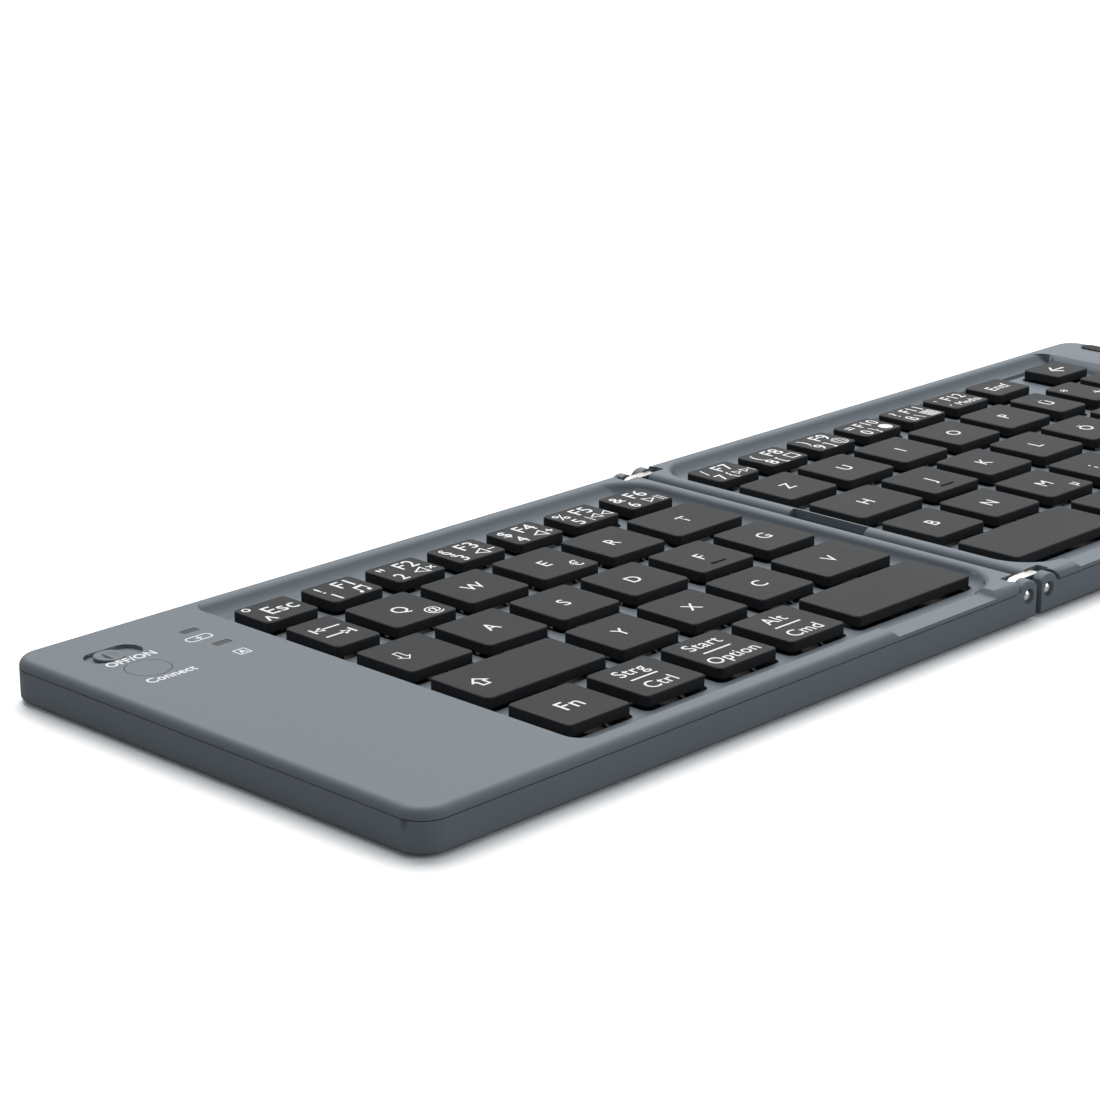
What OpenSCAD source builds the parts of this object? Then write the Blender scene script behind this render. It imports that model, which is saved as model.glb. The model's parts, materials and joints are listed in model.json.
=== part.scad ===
// Folding keyboard: two shallow half cases joined by a pair of two-pin link hinges.
// The frame is the open keyboard: X runs along the keys, Y from front to back, Z up.
// The origin lies under the middle of the case, on the surface that the feet stand on.

/* [Case] */
// Length of the open keyboard, outer end to outer end
case_len = 287.2; // [284:0.2:346]
// Depth of the case, front face to back face
case_depth = 94.4; // [92:0.1:120]
// Height of the lower shells, underside to seam
tub_h = 5.3; // [5.1:0.1:8]
// Height of the upper shells above the seam
lid_h = 1.6; // [1.6:0.1:2.4]
// Radius of the outer corners, seen from above
corner_r = 4.8; // [3:0.1:12]
// Radius of the soft edge round the top
top_r = 1.5; // [0.6:0.1:1.5]
// Radius of the edge round the underside
bottom_r = 0.7; // [0.4:0.1:1.4]
// Thickness of the side walls
wall = 1.6; // [1.2:0.1:2]
// Thickness of the walls that face the hinge line
end_wall = 1.2; // [0.8:0.1:1.4]
// Thickness of the case floor
floor_t = 1; // [0.7:0.1:1.4]
// Height of the fine shadow gap under the seam
seam_h = 0.15; // [0.1:0.05:0.4]
// Depth of that shadow gap
seam_d = 0.35; // [0.2:0.05:0.6]

/* [Key tray] */
// Distance between neighbouring letter keys, left to right
key_pitch = 17; // [15.6:0.1:17.2]
// Distance between neighbouring rows, front to back
row_pitch = 16.8; // [15.6:0.1:16.9]
// Gap between neighbouring key tops
key_gap = 3.4; // [2.6:0.1:4]
// Depth of a letter key, front to back
key_depth = 13.15; // [12:0.05:13.8]
// Depth of a function key, front to back
fkey_depth = 9.1; // [7.6:0.1:9.4]
// Height of a key cap, top face to skirt
key_h = 1.8; // [1.6:0.05:2.2]
// How far the key tops lie under the rim
key_sink = 0.15; // [0:0.05:0.4]
// How far a key travels when it is pressed
key_travel = 1.5; // [0.8:0.1:1.6]
// Radius of the key corners, seen from above
key_r = 0.9; // [0.4:0.1:1.6]
// Bevel round the top face of a key
key_bevel = 0.2; // [0.1:0.05:0.3]
// Thickness of a key cap's walls
key_wall = 0.8; // [0.6:0.1:1]
// Clearance between a key and its hole in the tray
key_clear = 0.45; // [0.3:0.05:0.6]
// Depth of the tray floor under the rim
tray_d = 2.4; // [2.1:0.1:2.5]
// Thickness of the tray floor
web_t = 1; // [0.7:0.1:1.2]
// Width of the front rim, from the front face to the tray
front_rim = 4.1; // [3:0.1:6]
// Distance from the front of the tray to the front row
front_gap = 5.2; // [2:0.1:8]
// Width of the back rim, from the back face to the top of the slope
back_rim = 1.9; // [1.7:0.1:4]
// Run of the slope behind the function keys
back_run = 5.3; // [4:0.1:6]
// Radius of the round at the top of that slope
back_crest_r = 2; // [0.5:0.1:2.5]
// Distance from the hinge line to the top of the slope beside it
bead_u = 2.6; // [2.4:0.1:3]
// Radius of the round at the top of that slope
bead_crest_r = 1.4; // [0.5:0.1:1.6]
// Distance from the hinge line to the first key
block_u = 6.7; // [6.2:0.1:9]
// Gap between the last key and the wall of the side panel
wing_gap = 3.65; // [2:0.05:6]
// Length of the homing bars on the F and J keys
homing_l = 3.6; // [2:0.1:5]
// How far a homing bar stands above its key
homing_h = 0.2; // [0.1:0.05:0.3]

/* [Hinges] */
// Gap between the two halves when they lie open
hinge_gap = 1.5; // [1:0.1:2]
// Distance between the two pins of a hinge
pin_spacing = 5.7; // [5.7:0.05:6.6]
// Height of the pins above the underside of the case
pin_h = 4.2; // [4.1:0.05:4.4]
// Radius of a hinge pin
pin_r = 0.75; // [0.5:0.05:0.9]
// Running clearance round a pin
pin_fit = 0.03; // [0.02:0.01:0.08]
// Radius of a pin's head
head_r = 1.2; // [1:0.02:1.25]
// Height of a pin's head
head_h = 0.65; // [0.6:0.05:0.75]
// Radius of the dome on a pin's head
head_dome = 1.5; // [1.5:0.1:4]
// Radius of the counterbore round a head
bore_r = 1.35; // [1.2:0.05:1.6]
// Depth of that counterbore
bore_d = 0.8; // [0.6:0.05:1]
// Radius of the lower side of a link, round each pin
link_r = 1.9; // [1.5:0.05:2.1]
// Height of a link's flat top above its pins
link_top = 2.4; // [2:0.05:2.4]
// Width of a link along its pins
link_w = 2; // [1.6:0.1:3]
// Clearance beside a link
link_clear = 0.15; // [0.1:0.05:0.3]
// Thickness of the outer knuckle, from the front or back face
knuckle_t = 2.1; // [1.6:0.05:2.6]
// Thickness of the inner knuckle
inner_knuckle_t = 2; // [1.4:0.1:3]
// Radius of the round boss that an outer knuckle shows
boss_r = 2.75; // [2.4:0.05:2.75]
// Radius of the soft edge round a boss
boss_edge = 0.45; // [0.2:0.05:0.8]
// Width of the pocket in the upper shell round a boss
pocket = 0.65; // [0.4:0.05:0.8]

/* [Controls] */
// Width of the side panel's switch recess
dish_w = 5.6; // [5:0.1:7]
// Length of that recess
dish_l = 10.4; // [9:0.1:14]
// Depth of that recess
dish_d = 0.6; // [0.6:0.1:1]
// Diameter of the switch knob
knob_d = 5; // [3.6:0.1:5.2]
// How far the switch slides
switch_travel = 1.6; // [1:0.1:2.4]
// Diameter of the connect button
button_d = 7.3; // [5:0.1:9]
// How far the connect button travels
button_travel = 0.3; // [0.2:0.05:0.3]
// Clearance round the button and the knob
control_clear = 0.12; // [0.08:0.02:0.25]
// Length of a status window
window_l = 3.4; // [2:0.1:6]
// Width of a status window
window_w = 1.6; // [0.8:0.1:2]

/* [Feet and bumper] */
// Height of the feet
foot_h = 0.5; // [0.4:0.1:1.6]
// Diameter of a foot
foot_d = 8; // [5:0.5:12]
// Width of the closing bumper
bumper_w = 3.5; // [2:0.1:4]
// How far the bumper stands above the side panel
bumper_proud = 0.25; // [0.1:0.05:0.25]

/* [Hidden] */
$fn = 48;

cut = 1;                               // how far a cutter runs past what it cuts
half_len = case_len / 2;
face_u = hinge_gap / 2;                // the faces of the halves beside the hinge line
case_h = tub_h + lid_h;
base_z = foot_h;
floor_z = base_z + floor_t;
seam_z = base_z + tub_h;
rim_z = base_z + case_h;
key_z = rim_z - key_sink;
web_z = rim_z - tray_d;
pin_z = base_z + pin_h;
pin_u = pin_spacing / 2;
link_y = case_depth / 2 - knuckle_t - link_clear - link_w / 2;
slot_w = link_w + 2 * link_clear;
link_end = 0.15;                       // where a link's flat top ends, beyond the pin
slot_u = pin_u + norm([link_end, link_top]) + 0.15;
slot_z = pin_z - link_r - 0.2;
knuckle_in = link_y - slot_w / 2 - inner_knuckle_t;
hinge_block_u = pin_u + pin_r + 0.55;
fit = 0.15;                            // clearance between parts that drop into each other

// Rows from back to front. A width is in key pitches, and 0 fills what is left of the row.
LEFT_ROWS = [
  [1, 1, 1, 1, 1, 1, 1],
  [0.75, 1, 1, 1, 1, 0],
  [1, 1, 1, 1, 1, 0],
  [1.75, 1, 1, 1, 0],
  [1, 1, 1, 1, 0]
];
RIGHT_ROWS = [
  [1, 1, 1, 1, 1, 1, 1, 1],
  [1, 1, 1, 1, 1, 0.735, 0.735, 0],
  [1.243, 1, 1, 1, 1, 1, 0],
  [1, 1, 1, 1, 1, 1, 0],
  [2.005, 1, 1, 1.067, 1.067, 0]
];
left_block = 98.15 / 17 * key_pitch;   // width of the left keys, which sets the tray
right_block = 119.1 / 17 * key_pitch;
left_x = -block_u - left_block;
right_x = block_u;
left_edge_u = block_u + left_block + wing_gap;
right_edge_u = block_u + right_block + wing_gap;
key_front = -case_depth / 2 + front_rim + front_gap;
frow_y = key_front + 4 * row_pitch + 0.06;
fkey_pitch = (left_block + key_gap) / 7;

function is_left(side) = side < 0;
function rows(side) = is_left(side) ? LEFT_ROWS : RIGHT_ROWS;
function block_x(side) = is_left(side) ? left_x : right_x;
function block_w(side) = is_left(side) ? left_block : right_block;
function edge_u(side) = is_left(side) ? left_edge_u : right_edge_u;
function sum_to(list, n) = n <= 0 ? 0 : list[n - 1] + sum_to(list, n - 1);

// One key as [left, right, front, back], seen from above
function row_front(row) = row == 0 ? frow_y : key_front + (4 - row) * row_pitch;
function row_depth(row) = row == 0 ? fkey_depth : key_depth;
function pitch_of(row) = row == 0 ? fkey_pitch : key_pitch;
function key_x0(side, row, i) = row == 0 && !is_left(side) && i == 7
  ? block_x(side) + block_w(side) - (fkey_pitch - key_gap)
  : block_x(side) + pitch_of(row) * sum_to(rows(side)[row], i);
function key_x1(side, row, i) = rows(side)[row][i] == 0
  ? block_x(side) + block_w(side)
  : key_x0(side, row, i) + pitch_of(row) * rows(side)[row][i] - key_gap;
function key_box(side, row, i) = [
  key_x0(side, row, i), key_x1(side, row, i), row_front(row), row_front(row) + row_depth(row)
];

// The up and down arrows share one place, one behind the other
arrow_gap = 1.9;
function is_arrow_pair(side, row, i) = !is_left(side) && row == 4 && i == 4;
function half_key(k, back) = back
  ? [k[0], k[1], (k[2] + k[3] + arrow_gap) / 2, k[3]]
  : [k[0], k[1], k[2], (k[2] + k[3] - arrow_gap) / 2];
function keys_at(side, row, i) = is_arrow_pair(side, row, i)
  ? [for (back = [false, true]) half_key(key_box(side, row, i), back)]
  : [key_box(side, row, i)];
function keys_in(side, row) = [
  for (i = [0:len(rows(side)[row]) - 1]) for (k = keys_at(side, row, i)) k
];
function all_keys(side) = [for (row = [0:4]) for (k = keys_in(side, row)) k];

module in_place(side) {
  if (is_left(side)) mirror([1, 0, 0]) children();
  else children();
}

// A rectangle with one corner radius on its low side and another on its high side
module soft_rect(x0, x1, y0, y1, r0, r1) {
  translate([x0 + r0, y0]) square([x1 - r1 - x0 - r0, y1 - y0]);
  translate([x0, y0 + r0]) square([r0 + 0.01, y1 - y0 - 2 * r0]);
  translate([x1 - r1 - 0.01, y0 + r1]) square([r1 + 0.01, y1 - y0 - 2 * r1]);
  for (y = [y0 + r0, y1 - r0]) translate([x0 + r0, y]) circle(r0);
  for (y = [y0 + r1, y1 - r1]) translate([x1 - r1, y]) circle(r1);
}

module block(x0, x1, y0, y1, z0, z1) {
  translate([x0, y0, z0]) cube([x1 - x0, y1 - y0, z1 - z0]);
}

module soft_block(x0, x1, y0, y1, z0, z1, r) {
  translate([0, 0, z0]) linear_extrude(z1 - z0) soft_rect(x0, x1, y0, y1, r, r);
}

// ---- Half case: the outline that both shells are cut from ----

// Section of an edge: the outer side is at r, with rounds at top and bottom
module edge_section(r, h, rt, rb) {
  difference() {
    square([r, h]);
    if (rt > 0) translate([r - rt, h - rt]) difference() {
      square(rt + cut);
      circle(rt);
    }
    if (rb > 0) translate([r - rb, -cut]) difference() {
      square([rb + cut, rb + cut]);
      translate([0, rb + cut]) circle(rb);
    }
  }
}

module slab(h, rt, rb) {
  post_u = half_len - corner_r;
  post_y = case_depth / 2 - corner_r;
  union() {
    translate([face_u, 0, 0]) rotate([90, 0, 90]) linear_extrude(post_u - face_u) {
      for (s = [0, 1]) mirror([s, 0]) edge_section(case_depth / 2, h, rt, rb);
    }
    for (s = [-1, 1]) translate([post_u, s * post_y, 0]) rotate_extrude()
      edge_section(corner_r, h, rt, rb);
    translate([post_u, post_y, 0]) rotate([90, 0, 0]) linear_extrude(2 * post_y)
      edge_section(corner_r, h, rt, rb);
  }
}

// Cutter that rounds an edge along Y beside the hinge line
module hinge_edge_round(z, r, up) {
  translate([face_u, case_depth / 2 + cut, z]) rotate([90, 0, 0])
    linear_extrude(case_depth + 2 * cut) mirror([0, up > 0 ? 0 : 1]) difference() {
      translate([-cut, -r]) square([r + cut, r + cut]);
      translate([r, -r]) circle(r);
    }
}

// The whole outside of one half, feet left off
module half_envelope() {
  difference() {
    translate([0, 0, base_z]) slab(case_h, top_r, bottom_r);
    hinge_edge_round(rim_z, top_r, 1);
    hinge_edge_round(base_z, bottom_r, -1);
  }
}

module inner_outline(z0, z1, inset, hinge_inset) {
  r = max(corner_r - inset, 0.5);
  translate([0, 0, z0]) linear_extrude(z1 - z0) soft_rect(
    face_u + hinge_inset, half_len - inset,
    -case_depth / 2 + inset, case_depth / 2 - inset, 0.5, r);
}

module at_pin(y0, y1, r) {
  translate([pin_u, y1, pin_z]) rotate([90, 0, 0]) cylinder(h = y1 - y0, r = r);
}

module both_ends() {
  children();
  mirror([0, 1, 0]) children();
}

// The round boss of an outer knuckle, with a soft outer edge
module knuckle_boss() {
  intersection() {
    translate([pin_u, case_depth / 2 - knuckle_t, pin_z]) rotate([-90, 0, 0]) rotate_extrude()
      edge_section(boss_r, knuckle_t, boss_edge, 0);
    block(face_u, pin_u + boss_r + cut, 0, case_depth, pin_z, rim_z + cut);
  }
}

// The pocket in the upper shell that leaves the boss free all round
module boss_pocket() {
  intersection() {
    at_pin(case_depth / 2 - knuckle_t - 0.15, case_depth / 2 + cut, boss_r + pocket);
    block(-cut, pin_u + boss_r + pocket + cut, 0, case_depth, pin_z, rim_z + cut);
  }
}

module link_slot() {
  block(-cut, slot_u, link_y - slot_w / 2, link_y + slot_w / 2, slot_z, rim_z + cut);
}

module pin_bores() {
  at_pin(knuckle_in - cut, case_depth / 2 + cut, pin_r + pin_fit);
  at_pin(case_depth / 2 - bore_d, case_depth / 2 + cut, bore_r);
}

// ---- Lower shell ----

foot_x = half_len - 14;
foot_in_x = 18;
foot_y = case_depth / 2 - 12;
foot_seat = 0.3;
flex_y = -0.2;
flex_w = 13;
flex_z = base_z + 2.3;
port_u = 126;
port_w = 7.5;
port_t = 2.5;
board_z = floor_z + 0.5;
board_t = 0.8;
port_z = board_z + board_t;

module feet_at() {
  for (x = [foot_in_x, foot_x]) for (s = [-1, 1]) translate([x, s * foot_y, 0]) children();
}

module lower_shell(side) {
  difference() {
    union() {
      intersection() {
        half_envelope();
        union() {
          block(0, half_len + cut, -case_depth, case_depth, 0, seam_z - seam_h);
          inner_outline(base_z + bottom_r, seam_z, seam_d, seam_d);
        }
      }
      both_ends() knuckle_boss();
    }
    difference() {
      inner_outline(floor_z, rim_z + cut, wall, end_wall);
      both_ends() block(0, hinge_block_u, knuckle_in, case_depth, 0, rim_z + 2 * cut);
    }
    both_ends() link_slot();
    both_ends() pin_bores();
    feet_at() translate([0, 0, -cut]) cylinder(h = base_z + foot_seat + cut, d = foot_d + 0.2);
    block(0, face_u + end_wall + cut, flex_y - flex_w / 2 - 0.5, flex_y + flex_w / 2 + 0.5,
      flex_z - 0.35, flex_z + 0.55);
    if (is_left(side)) port_hole();
    else hinge_notch();
  }
  if (is_left(side)) board_posts();
}

module port_hole() {
  translate([0, case_depth / 2 + cut, 0]) rotate([90, 0, 0]) linear_extrude(wall + 2 * cut)
    soft_rect(port_u - port_w / 2 - fit, port_u + port_w / 2 + fit,
      port_z - fit, port_z + port_t + fit, 0.8, 0.8);
}

board_u0 = 112;
board_u1 = 139;
board_y0 = 6;
board_y1 = case_depth / 2 - 3.2;

module board_posts() {
  for (x = [board_u0 + 3, board_u1 - 3]) for (y = [board_y0 + 3, board_y1 - 7])
    translate([x, y, floor_z]) cylinder(h = board_z - floor_z, r = 1.6);
}

// Notch in the bead of the right half, where the flat cable comes up
notch_w = 17.2;
notch_d = 1.75;
notch_z = seam_z - 1;

module hinge_notch() {
  block(0, face_u + notch_d, flex_y - notch_w / 2, flex_y + notch_w / 2, notch_z, rim_z + cut);
}

// ---- Upper shell ----

tray_front = -case_depth / 2 + front_rim;
tray_back = case_depth / 2 - back_rim;
tray_floor_back = tray_back - back_run;
tray_wing_r = 4;
tray_hinge_r = 9.5;                    // crest of the slope round the corners beside the hinge
slope_u = block_u - key_clear + 0.05;  // where the slope beside the hinge meets the tray floor
rim_round = 1;                         // round on the inside of the front rim

// Section of the tray: its floor, and a slope from x1 up to x2. The slope leaves the floor as a
// hollow and reaches the rim as a round of radius crest_r, and the two arcs meet in a tangent.
module slope_section(x0, x1, x2, crest_r) {
  run = x2 - x1;
  both_r = (run * run + tray_d * tray_d) / (2 * tray_d);
  hollow_r = both_r - crest_r;
  meet_x = x2 - crest_r * run / both_r;
  meet_z = tray_d * hollow_r / both_r;
  translate([x0, 0]) square([x1 - x0 + 0.01, tray_d + cut]);
  intersection() {
    translate([x1, hollow_r]) circle(hollow_r, $fn = 128);
    translate([x1, 0]) square([meet_x - x1 + 0.005, tray_d]);
  }
  difference() {
    translate([meet_x, meet_z]) square([x2 - meet_x, tray_d + cut - meet_z]);
    translate([x2, tray_d - crest_r]) circle(crest_r, $fn = 96);
  }
  translate([x1, tray_d]) square([x2 - x1, cut]);
}

// What stays of the shell in a tray corner beside the hinge, where the slope turns the corner.
// The corner lies at y, and the tray lies in front of it for way 1 and behind it for way -1.
module corner_land(y, way) {
  u = bead_u + tray_hinge_r;
  centre_y = y - way * tray_hinge_r;
  far_y = y + way * cut;
  difference() {
    block(bead_u - cut, u, min(far_y, centre_y), max(far_y, centre_y), web_z, rim_z + cut);
    translate([u, centre_y, web_z]) rotate_extrude()
      slope_section(0, tray_hinge_r - slope_u + bead_u, tray_hinge_r, bead_crest_r);
  }
}

module tray(side) {
  difference() {
    tray_cut(side);
    corner_land(tray_front - rim_round, -1);
    corner_land(tray_back, 1);
  }
}

module tray_cut(side) {
  intersection() {
    translate([0, 0, web_z]) linear_extrude(tray_d + cut) soft_rect(
      bead_u, edge_u(side), tray_front - rim_round, tray_back, tray_wing_r, tray_wing_r);
    translate([0, case_depth, web_z]) rotate([90, 0, 0]) linear_extrude(2 * case_depth)
      mirror([1, 0]) slope_section(-edge_u(side) - cut, -slope_u, -bead_u, bead_crest_r);
    translate([-cut, 0, web_z]) rotate([90, 0, 90]) linear_extrude(half_len + cut) {
      slope_section(tray_front, tray_floor_back, tray_back, back_crest_r);
      difference() {
        translate([tray_front - rim_round, tray_d - rim_round])
          square([rim_round + 0.01, rim_round + cut]);
        translate([tray_front - rim_round, tray_d - rim_round]) circle(rim_round);
      }
    }
  }
}

// Cut in the front rim that clears the thumbs over the space keys
relief_u0 = bead_u + tray_hinge_r;
relief_u1 = 38.2;
relief_d = 0.95;

module thumb_relief() {
  translate([0, -case_depth / 2 + front_rim + 0.2, rim_z]) rotate([90, 0, 0])
    linear_extrude(front_rim + cut)
      polygon([[relief_u0 - relief_d, 0], [relief_u0, -relief_d],
        [relief_u1, -relief_d], [relief_u1 + relief_d, 0],
        [relief_u1 + relief_d, cut], [relief_u0 - relief_d, cut]]);
}

module key_holes(side) {
  for (k = all_keys(side)) soft_block(
    k[0] - key_clear, k[1] + key_clear, k[2] - key_clear, k[3] + key_clear,
    web_z - web_t - cut, web_z + cut / 2, key_r + key_clear);
}

pan_u = hinge_block_u + fit;
pan_wall = 1.2;
lip_h = 0.8;
lip_t = 0.8;

module upper_shell(side) {
  difference() {
    union() {
      intersection() {
        half_envelope();
        block(0, half_len + cut, -case_depth, case_depth, seam_z, rim_z + cut);
      }
      difference() {
        soft_block(pan_u, edge_u(side) + pan_wall, tray_front - pan_wall,
          tray_floor_back + 3.4, web_z - web_t, seam_z + 0.01, 1.5);
        both_ends() block(0, hinge_block_u + fit, knuckle_in - fit, case_depth, 0, seam_z);
      }
      difference() {
        inner_outline(seam_z - lip_h, seam_z + 0.01, wall + fit, end_wall + fit);
        inner_outline(0, case_depth, wall + fit + lip_t, end_wall + fit + lip_t);
        both_ends() block(0, slot_u + fit, knuckle_in - fit, case_depth, 0, case_depth);
        block(0, pan_u, -case_depth, case_depth, 0, case_depth);
        if (is_left(side)) port_clearance();
      }
    }
    tray(side);
    both_ends() boss_pocket();
    both_ends() link_slot();
    thumb_relief();
    in_place(side) key_holes(side);
    if (is_left(side)) control_openings();
    else {
      hinge_notch();
      bumper_groove();
    }
  }
}

module port_clearance() {
  block(port_u - port_w / 2 - 1, port_u + port_w / 2 + 1, case_depth / 2 - 8, case_depth / 2,
    0, case_depth);
}

// ---- Controls on the left side panel ----

dish_u = 131.6;
dish_y = 35.5;
knob_u = dish_u + switch_travel / 2;   // at rest the knob is at the OFF end
button_u = 131.8;
button_y = 26.55;
window_u = 116.35;
window_ys = [35.4, 27.3];
window_r = 0.3;
stem_w = 1.6;
stem_t = 1.2;

module capsule(l, w, h) {
  linear_extrude(h) soft_rect(-l / 2, l / 2, -w / 2, w / 2, w / 2 - 0.01, w / 2 - 0.01);
}

module window_block(grow, z0, z1) {
  soft_block(-window_l / 2 - grow, window_l / 2 + grow, -window_w / 2 - grow,
    window_w / 2 + grow, z0, z1, window_r);
}

module control_openings() {
  translate([dish_u, dish_y, rim_z - dish_d]) capsule(dish_l, dish_w, dish_d + cut);
  block(dish_u - (stem_w + switch_travel) / 2 - fit, dish_u + (stem_w + switch_travel) / 2 + fit,
    dish_y - stem_t / 2 - fit, dish_y + stem_t / 2 + fit, seam_z - cut, rim_z);
  translate([button_u, button_y, seam_z - cut])
    cylinder(h = lid_h + 2 * cut, d = button_d + 2 * control_clear);
  for (y = window_ys) translate([window_u, y, 0]) window_block(0, seam_z - cut, rim_z + cut);
}

module switch_knob() {
  color([0.50, 0.53, 0.56]) in_place(-1) translate([knob_u, dish_y, rim_z - dish_d + 0.05]) {
    difference() {
      cylinder(h = dish_d - 0.05, d = knob_d);
      translate([0, 0, dish_d + 4.6]) sphere(r = 5);
    }
    block(-0.35, 0.35, -knob_d * 0.36, knob_d * 0.36, 0, dish_d - 0.1);
    block(-stem_w / 2, stem_w / 2, -stem_t / 2, stem_t / 2,
      port_z + 1.25 - rim_z + dish_d - 0.05, 0.01);
  }
}

module connect_button() {
  color([0.50, 0.53, 0.56]) in_place(-1) translate([button_u, button_y, 0]) {
    translate([0, 0, seam_z - 0.1]) cylinder(h = lid_h + 0.1, d = button_d);
    translate([0, 0, seam_z - 0.75]) cylinder(h = 0.7, d = button_d + 1.4);
  }
}

module status_windows() {
  color([0.22, 0.20, 0.22]) in_place(-1) for (y = window_ys) translate([window_u, y, 0]) {
    window_block(0, seam_z, rim_z - 0.05);
    window_block(0.6, seam_z - 0.6, seam_z);
  }
}

module slide_switch_body() {
  color([0.15, 0.15, 0.16]) in_place(-1) difference() {
    block(dish_u - 4.3, dish_u + 4.3, dish_y - 1.8, dish_y + 1.8, port_z, port_z + 1.75);
    block(dish_u - 2, dish_u + 2, dish_y - 0.8, dish_y + 0.8, port_z + 1.1, port_z + 2);
  }
}

module button_switch_body() {
  color([0.75, 0.76, 0.78]) in_place(-1) translate([button_u, button_y, port_z]) {
    block(-2.6, 2.6, -2.6, 2.6, 0, 1.4);
    cylinder(h = 1.9, d = 2.4);
  }
}

module charging_port() {
  color([0.78, 0.78, 0.80]) in_place(-1) translate([port_u, case_depth / 2 - 0.4, port_z])
    rotate([90, 0, 0]) {
      difference() {
        linear_extrude(5.6) soft_rect(-port_w / 2, port_w / 2, 0, port_t, 0.8, 0.8);
        translate([0, 0, -cut]) linear_extrude(4.9 + cut)
          soft_rect(-port_w / 2 + 0.3, port_w / 2 - 0.3, 0.3, port_t - 0.3, 0.6, 0.6);
      }
      block(-2, 2, port_t / 2 - 0.3, port_t / 2 + 0.3, 0.8, 5.2);
    }
}

module control_board() {
  color([0.10, 0.30, 0.20]) in_place(-1) {
    difference() {
      block(board_u0, board_u1, board_y0, board_y1, board_z, port_z);
      translate([board_u0 + 8, board_y0 + 3, 0]) cylinder(h = case_depth, r = 1);
    }
    block(board_u0 + 3, board_u0 + 9, board_y0 + 8, board_y0 + 14, port_z, port_z + 0.8);
    for (y = window_ys) block(window_u - 0.8, window_u + 0.8, y - 0.4, y + 0.4,
      port_z, port_z + 0.7);
  }
}

module battery() {
  color([0.72, 0.74, 0.76]) in_place(-1)
    soft_block(board_u0, board_u1 - 1, 5.2 - case_depth / 2, 2, floor_z, floor_z + 2.9, 1.2);
}

// ---- Under the keys ----

plate_t = 0.4;
membrane_t = 0.25;
membrane_z = floor_z + plate_t;
dome_z = membrane_z + membrane_t;
dome_h = 2.6;
dome_r = 2;

module base_plate(side) {
  in_place(side) difference() {
    soft_block(hinge_block_u + 0.4, edge_u(side) + 1, tray_front + 0.4, tray_back - 1,
      floor_z, floor_z + plate_t, 1);
    both_ends() block(0, slot_u + 0.4, knuckle_in - 0.4, case_depth, 0, case_depth);
  }
}

module dome_membrane(side) {
  color([0.82, 0.83, 0.80]) {
    in_place(side) difference() {
      soft_block(hinge_block_u + 0.8, edge_u(side) + 0.6, tray_front + 0.8, tray_back - 1.4,
        membrane_z, dome_z, 1);
      both_ends() block(0, slot_u + 0.8, knuckle_in - 0.8, case_depth, 0, case_depth);
    }
    for (k = all_keys(side)) translate([(k[0] + k[1]) / 2, (k[2] + k[3]) / 2, dome_z])
      dome(has_levers(k) ? min(dome_r, lever_room(lever_span(k)) - 0.25) : 1.6);
  }
}

// A hollow rubber dome that the stem of a key presses down
module dome(r) {
  rotate_extrude() polygon([[0, dome_h - 0.7], [max(r - 1.1, 0.3 * r), dome_h - 0.7], [r - 0.4, 0],
    [r, 0], [r, 0.3], [max(r - 0.6, 0.6 * r), dome_h], [0, dome_h]]);
}

lever_t = 0.5;
lever_w = 0.6;

// Only full keys have levers. The small arrow keys are held by their domes alone.
function has_levers(k) = k[3] - k[2] > 7;
function lever_span(k) = min(k[1] - k[0] - 2 * key_wall - 1, 10.4);
// Levers under a narrow key are thinner, so that its dome has room between them
function lever_wire(span) = min(lever_w, span / 10);
function lever_room(span) = span / 2 - 2 * lever_wire(span) - 0.15;

// One pair of levers: two frames crossing like scissors, one inside the other
module scissor_pair(w, d) {
  rise = key_z - 0.95 - dome_z - lever_t - 0.25;
  run = d;
  angle = asin(min(rise / run, 0.6));
  translate([0, 0, dome_z + 0.1 + rise / 2 + lever_t / 2]) {
    rotate([angle, 0, 0]) lever_frame(w, run, lever_wire(w));
    rotate([-angle, 0, 0]) lever_frame(w - 2 * lever_wire(w) - 0.3, run, lever_wire(w));
  }
}

module lever_frame(w, d, wire) {
  difference() {
    block(-w / 2, w / 2, -d / 2, d / 2, -lever_t / 2, lever_t / 2);
    block(-w / 2 + wire, w / 2 - wire, -d / 2 + wire, d / 2 - wire, -cut, cut);
  }
}

module scissor_levers(side) {
  color([0.90, 0.90, 0.88]) for (k = all_keys(side)) if (has_levers(k)) {
    d = min(k[3] - k[2] - 2 * key_wall - 0.9, 9.8);
    translate([(k[0] + k[1]) / 2, (k[2] + k[3]) / 2, 0]) scissor_pair(lever_span(k), d);
  }
}

// ---- Keys ----

module bevel_section(r) {
  polygon([[0, 0], [r, 0], [r, key_h - key_bevel], [r - key_bevel, key_h], [0, key_h]]);
}

module key_cap(k) {
  w = k[1] - k[0];
  d = k[3] - k[2];
  translate([k[0], k[2], key_z - key_h]) difference() {
    union() {
      for (x = [key_r, w - key_r]) for (y = [key_r, d - key_r]) translate([x, y, 0])
        rotate_extrude() bevel_section(key_r);
      translate([w / 2, d - key_r, 0]) rotate([90, 0, 0]) linear_extrude(d - 2 * key_r)
        for (s = [0, 1]) mirror([s, 0]) bevel_section(w / 2);
      translate([key_r, d / 2, 0]) rotate([90, 0, 90]) linear_extrude(w - 2 * key_r)
        for (s = [0, 1]) mirror([s, 0]) bevel_section(d / 2);
    }
    block(key_wall, w - key_wall, key_wall, d - key_wall, -cut, key_h - key_wall);
  }
  translate([(k[0] + k[1]) / 2, (k[2] + k[3]) / 2, dome_z + dome_h + 0.05])
    cylinder(h = key_z - key_wall - dome_z - dome_h, r = 1.1);
}

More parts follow.
